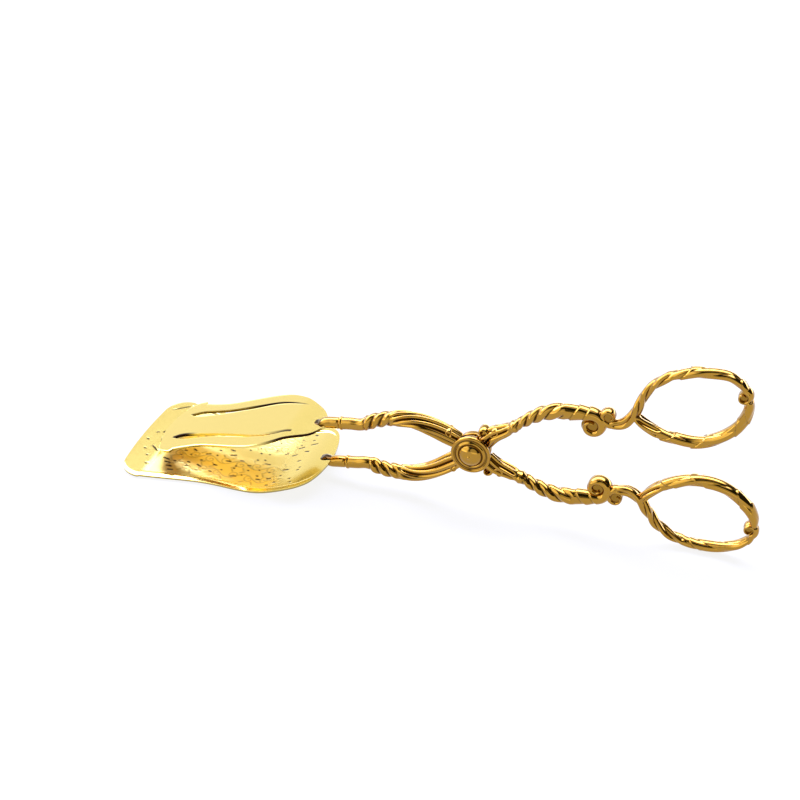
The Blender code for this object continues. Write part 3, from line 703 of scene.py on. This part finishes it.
def plate_solid(name, x, y, high, low, place, body, material, node, marks):
    """A closed plate from grids of x, y and two heights: top, underside and a wall round the edge."""
    count, wide = x.shape
    top = place(x, y, high).reshape(-1, 3)
    base = place(x, y, low).reshape(-1, 3)
    quads = grid_faces(count, wide, False)
    under = count * wide
    index = np.arange(under).reshape(count, wide)
    edge = np.concatenate([index[0], index[1:, -1], index[-1, -2::-1], index[-2:0:-1, 0]])
    nxt = np.roll(edge, -1)
    wall = np.stack([edge, nxt, nxt + under, edge + under], -1)
    faces = np.vstack([quads, quads[:, ::-1] + under, wall]).tolist()
    marks = {mark: np.concatenate([values.ravel(), np.zeros(under)]) for mark, values in marks.items()}
    # Painted shade: a dark line along the lower rim of the plate's edge wall.
    marks["shade_and_brazing"][edge + under] = LOWER_EDGE_DARK
    roll_edge(solid(name, np.vstack([top, base]), faces, body, material, node, marks), 70)


SERVE_LENGTH, SERVE_WIDTH, SERVE_CORNER, SERVE_BOW = 75.6, 50.0, 8.0, 0.9
SERVE_FLAT, SERVE_ROOT, SHEET = 30.0, 4.5, 0.9
serve = plate_rows([
    (SERVE_ROOT, 3.5), (5.6, 10.5), (7.5, 15.8), (10.5, 18.9), (14.0, 20.2), (20.0, 20.7), (31.0, 21.1),
    (45.0, 21.1), (66.0, 24.5), (SERVE_LENGTH, SERVE_WIDTH / 2),
], SERVE_LENGTH, SERVE_WIDTH, SERVE_CORNER, SERVE_BOW)
across = np.linspace(-1, 1, 171)
across = np.sign(across) * (1 - (1 - np.abs(across)) ** 1.25)
at, half, bow = serve.T[:, :, None]
y = half * across
x = -(at + bow * (1 - across ** 2))
lower_seat = seat(1)
DROP = lower_seat[2]


def serve_base(at):
    """Height of the underside over the shoulder: flat toward the tip, swept up to the shank."""
    return -DROP + (DROP - SHEET / 2) * ease((SERVE_FLAT - at) / (SERVE_FLAT - SERVE_ROOT)) ** 1.3


def serve_place(a, b, c):
    """Serving plate's own coordinates to world millimetres."""
    return lower_seat + np.stack([a, b, c], -1)


RIM_WIDTH, RIM_SLOPE, RIM_RISE = 2.0, 0.8, 0.5
TIP_BORDER, TIP_SLOPE = 11.5, 2.6
EDGE_FALL, EDGE_WIDTH = 0.22, 1.5
from_edge, from_tip = half - np.abs(y), SERVE_LENGTH + x
rim_rise = 1 - ease((from_edge - RIM_WIDTH) / RIM_SLOPE)
tip_rise = ease((-x - (SERVE_LENGTH - TIP_BORDER)) / TIP_SLOPE)
raised = RIM_RISE * np.maximum(rim_rise, tip_rise) * ease((at - SERVE_ROOT) / 11.0)
low = serve_base(at) + raised
rolled = EDGE_FALL * (1 - np.clip(np.minimum(from_edge, from_tip) / EDGE_WIDTH, 0, 1)) * ease((at - 20) / 12)
print("serving plate rows and columns", x.shape)

# %% [markdown]
# ## Pressed ornament
#
# The panel is pressed with a running scroll: waving stems on either side, a curl in every bend and small
# leaves. Short dashes are punched over it and over the tip, with a fan of them in the front corner. Each
# line is a rounded ridge or dent, whose height falls off as a bell of the distance to the line. A bump in
# the material could draw them too, but real slopes catch the light from every side.

# %% Ornament and serving plate
PANEL_AT, PANEL_RUN = 15.0, 45.0
STEM_MIDDLES, WAVE_LENGTH, WAVE_REACH = (6.4, 13.6), 12.0, 1.7
CURL_AT, CURL_STEP = 18.5, 5.7
STEM_RIDGE, CURL_RIDGE, LEAF_RIDGE, DASH_RIDGE = (0.26, 0.09), (0.24, 0.085), (0.30, 0.10), (0.27, 0.08)
# Painted shade: the depth of a dent at which it is fully dark, and the shares on the pressed lines and the
# rim's foot.
DENT_DARK_DEPTH, RELIEF_DARK, FOOT_DARK = 0.025, 5.0, 0.8


def ridge(x, y, curve, width, height):
    """A rounded ridge along a curve: height times a bell of the distance to the nearest of its points."""
    away = np.full(x.shape, 9.0)
    low_end, high_end = curve.min(0) - 3 * width, curve.max(0) + 3 * width
    near = (x > low_end[0]) & (x < high_end[0]) & (y > low_end[1]) & (y < high_end[1])
    away[near] = np.hypot(x[near, None] - curve[:, 0], y[near, None] - curve[:, 1]).min(1)
    return height * np.exp(-(away / width) ** 2)


def ornament(at, y):
    """Relief of the panel: the highest of its stems, curls and leaves at each point."""
    t = np.linspace(0, 1, 200)
    lines = []
    for side in (-1, 1):
        for row, middle in enumerate(STEM_MIDDLES):
            stem_at = PANEL_AT + PANEL_RUN * t
            wave = WAVE_REACH * np.sin(2 * pi * (stem_at - PANEL_AT) / WAVE_LENGTH + 2.2 * row)
            lines.append((np.column_stack([stem_at, side * (middle + wave)]), *STEM_RIDGE))
            for bend in range(8):
                up = 1 if (bend + row) % 2 == 0 else -1
                centre = np.array([CURL_AT + CURL_STEP * bend, side * (middle - 0.5 * up)])
                curl = spiral(centre, (2.0, 0.3), -80 * up, 430 * up, (1, 1), 90)
                lines.append((curl[:, :2], *CURL_RIDGE))
                for leaf in (-1, 1):
                    turn = radians(90 * up + 40 * leaf) + 0.4 * t[:40]
                    reach = 2.2 + 1.5 * t[:40] * 5
                    tip = centre + np.column_stack([reach * np.cos(turn), reach * np.sin(turn)])
                    lines.append((tip, *LEAF_RIDGE))
    return np.max([ridge(at, y, *line) for line in lines], axis=0)


TIP_DASHES = [
    (72.0, 17.8, 67.5, 21.6), (69.1, 2.7, 67.5, 6.1), (69.1, -6.6, 66.6, -8.8), (71.4, 1.9, 71.0, 2.3),
    (71.3, -8.5, 71.0, -8.9), (68.8, -12.3, 68.5, -12.6), (67.0, -17.0, 66.6, -17.3),
    (72.8, -2.8, 72.5, -3.2),
] + [(62.6 - 1.4 * k, -11.4 - 2.1 * k, 60.6 - 1.2 * k, -12.0 - 1.8 * k) for k in range(4)]


def punched(at, y, count=110):
    """Depth of the punched dashes: the bell of the nearest one.

    Cells of a staggered lattice each take one short dash, moved and turned a little by a fixed draw. The
    longer dashes at the tip and the fan in the front corner are set one by one.
    """
    draw = np.random.default_rng(11)
    cell = np.arange(count)
    row, column = cell // 10, cell % 10
    middle = np.column_stack([PANEL_AT + 4.3 * row, -15.5 + 3.45 * column + 1.7 * (row % 2)])
    middle += draw.uniform(-1.1, 1.1, middle.shape)
    turn, reach = draw.uniform(-0.5, 0.7, count), draw.uniform(0.0, 1.0, count)[:, None] ** 2
    away = np.column_stack([np.cos(turn), np.sin(turn)]) * reach
    kept = draw.uniform(0, 1, count) > 0.25
    dashes = np.vstack([np.hstack([middle - away, middle + away])[kept], TIP_DASHES])
    t = np.linspace(0, 1, 9)[:, None]
    lines = [dash[:2] + t * (dash[2:] - dash[:2]) for dash in dashes]
    return np.max([ridge(at, y, line, *DASH_RIDGE) for line in lines], axis=0)


inside = ease((from_edge - 2.8) / 0.8) * (1 - tip_rise) * ease((at - PANEL_AT) / 10)
dents = punched(-x, y) * ease((from_edge - 1.8) / 1.0)
relief = inside * ornament(-x, y)
high = low + SHEET - rolled + relief - dents
# Painted shade in the dents, on the pressed lines and along the foot of the rim.
foot = FOOT_DARK * np.exp(-((from_edge - 2.5) / 0.3) ** 2) * ease((at - 26) / 8) * (1 - tip_rise)
painted_shade = np.maximum(np.clip(dents / DENT_DARK_DEPTH, 0, 1), foot + RELIEF_DARK * relief)
plate_solid("serving_plate_pressed", x, y, high, low, serve_place, "serving_half", SHEET_GILT,
            "serving_plate", {"shade_and_brazing": painted_shade, "ground": inside})
print("deepest dent and highest line in mm", dents.max().round(3), relief.max().round(3))

# %% [markdown]
# ## Slotted plate
#
# The upper plate is a plain pressing of the same sheet with two long slots. Its columns follow the slot
# walls, so leaving out the columns between the walls opens the slots with clean edges. A boolean could cut
# them too, but its edges would not follow the grid. A solidify gives the sheet its thickness.

# %% Slotted plate
CLAMP_PITCH = radians(7.6)
CLAMP_ANGLE = TILT + CLAMP_PITCH
CLAMP_LENGTH, CLAMP_WIDTH, CLAMP_CORNER, CLAMP_BOW = 65.2, 33.6, 6.0, 2.2
CLAMP_ROOT, CLAMP_LIFT, CLAMP_LIFT_RUN = 4.0, 3.0, 12.0
SLOT_ROOT, SLOT_TIP, BAND_COLUMNS = 13.4, 59.2, 24
CLAMP_EDGE_FALL, CLAMP_EDGE_WIDTH = 0.09, 0.6
clamp = plate_rows([
    (CLAMP_ROOT, 2.3), (9.8, 9.75), (24.5, 17.3), (46.5, 14.1), (61.0, 16.3), (CLAMP_LENGTH, CLAMP_WIDTH / 2),
], CLAMP_LENGTH, CLAMP_WIDTH, CLAMP_CORNER, CLAMP_BOW)
clamp_at, clamp_half, clamp_bow = clamp.T
along_slot = (clamp_at - SLOT_ROOT) / (SLOT_TIP - SLOT_ROOT)
outer_wall = spline([(0.0, 9.0), (0.236, 11.7), (0.46, 10.5), (0.672, 9.2), (0.906, 9.5), (1.0, 8.0)], 12)
inner_wall = spline([(0.0, 9.0), (0.24, 10.7), (0.481, 8.5), (0.694, 6.9), (0.928, 6.2), (1.0, 8.0)], 12)
wall_out = np.interp(along_slot, *outer_wall.T)
wall_in = np.interp(along_slot, *inner_wall.T)
slotless = (along_slot <= 0) | (along_slot >= 1)
slot_end = np.where(along_slot < 0.5, SLOT_ROOT, SLOT_TIP)
end_share = wall_out / np.interp(slot_end, clamp_at, clamp_half)
wall_out = np.where(slotless, clamp_half * end_share, wall_out)
wall_in = np.where(slotless, clamp_half * end_share, np.minimum(wall_in, wall_out))
upper_seat = seat(-1)


def clamp_base(at):
    """Height of the sheet's lower face over the shoulder: it lifts off the shank and then runs flat."""
    return -SHEET / 2 + CLAMP_LIFT * ease((at - CLAMP_ROOT) / CLAMP_LIFT_RUN)


def clamp_place(a, b, c):
    """Slotted plate's own coordinates to world millimetres."""
    return upper_seat + np.stack([
        a * cos(CLAMP_ANGLE) - c * sin(CLAMP_ANGLE), b, a * sin(CLAMP_ANGLE) + c * cos(CLAMP_ANGLE),
    ], -1)


def plate_band(inner, outer):
    """Grid points of one band between two walls, for every row, with the plate's edge rolled down."""
    row_at, row_half = clamp_at[:, None], clamp_half[:, None]
    y = inner[:, None] + (outer - inner)[:, None] * np.linspace(0, 1, BAND_COLUMNS)
    x = -(row_at + clamp_bow[:, None] * (1 - (y / row_half) ** 2))
    near_edge = 1 - np.clip((row_half - np.abs(y)) / CLAMP_EDGE_WIDTH, 0, 1)
    rolled = CLAMP_EDGE_FALL * near_edge * ease((row_at - 20) / 8)
    return clamp_place(x, y, clamp_base(row_at) - rolled)


bands = [plate_band(-clamp_half, -wall_out), plate_band(-wall_in, wall_in), plate_band(wall_out, clamp_half)]
# Painted shade: the first band's edge by the root, then one wall of each slot.
edge_dark = (1 - ease((clamp_at - 16) / 8)) * ease((clamp_at - 4.5) / 2)
first_wall_dark = 1 - ease(along_slot / 0.25) + ease((along_slot - 0.8) / 0.12)
second_wall_dark = 0.5 + 0.5 * ease(along_slot / 0.1) * (1 - ease((along_slot - 0.4) / 0.2))
painted_shade = np.zeros((len(bands), len(clamp_at), BAND_COLUMNS))
painted_shade[0, :, :3] = edge_dark[:, None]
painted_shade[1, :, :2] = np.where(slotless, 0, first_wall_dark)[:, None]
painted_shade[2, :, :2] = np.where(slotless, 0, second_wall_dark)[:, None]
band_faces = grid_faces(len(clamp_at), BAND_COLUMNS, False)
faces = np.vstack([band_faces + number * len(clamp_at) * BAND_COLUMNS for number in range(len(bands))])
slotted = solid("slotted_plate_pressed", np.vstack(bands).reshape(-1, 3), faces.tolist(), "clamping_half",
                SHEET_GILT, "slotted_plate", {"shade_and_brazing": painted_shade})
thick = slotted.modifiers.new("sheet", "SOLIDIFY")
thick.thickness = SHEET * MM
thick.offset = 1.0
roll_edge(slotted, 50)
print("slotted plate rows and bands", len(clamp_at), len(bands))

# %% [markdown]
# ## Shanks
#
# Each plate's root is drawn out into a round shank that meets the collar. It is a short bar that flattens
# into the sheet, so the two run together without a step.

# %% Shanks
BRAZING_DARK, BRAZING_LENGTH = 0.9, 2.6


def brazed(s, turn):
    """Dark line of the brazing where a shank leaves the sheet."""
    return BRAZING_DARK * window(s, 0.0, BRAZING_LENGTH, 1.5) + 0 * turn


def shank(word, slope, base, place, body):
    """A bar from inside the sheet to the collar, round at the collar and flat in the sheet."""
    rows = [
        (-8.2, base(8.2) + SHEET / 2, 1.0), (-6.6, base(6.6) + SHEET / 2, 2.0), (-4.6, -4.6 * slope, 3.5),
        (-2.0, -2.0 * slope, 4.0), (0.2, 0.2 * slope, 4.0),
    ]
    bar(word + "_shank", spline(rows), [2.4, 2.3, 2.1, 2.0, 2.0], plain, place, body, "cast_gold", CAST_GILT,
        word + "_plate", around=48, square=0.9, tint=brazed)


shank("serving", np.tan(TILT), serve_base, serve_place, "serving_half")
shank("slotted", -np.tan(CLAMP_PITCH), clamp_base, clamp_place, "clamping_half")
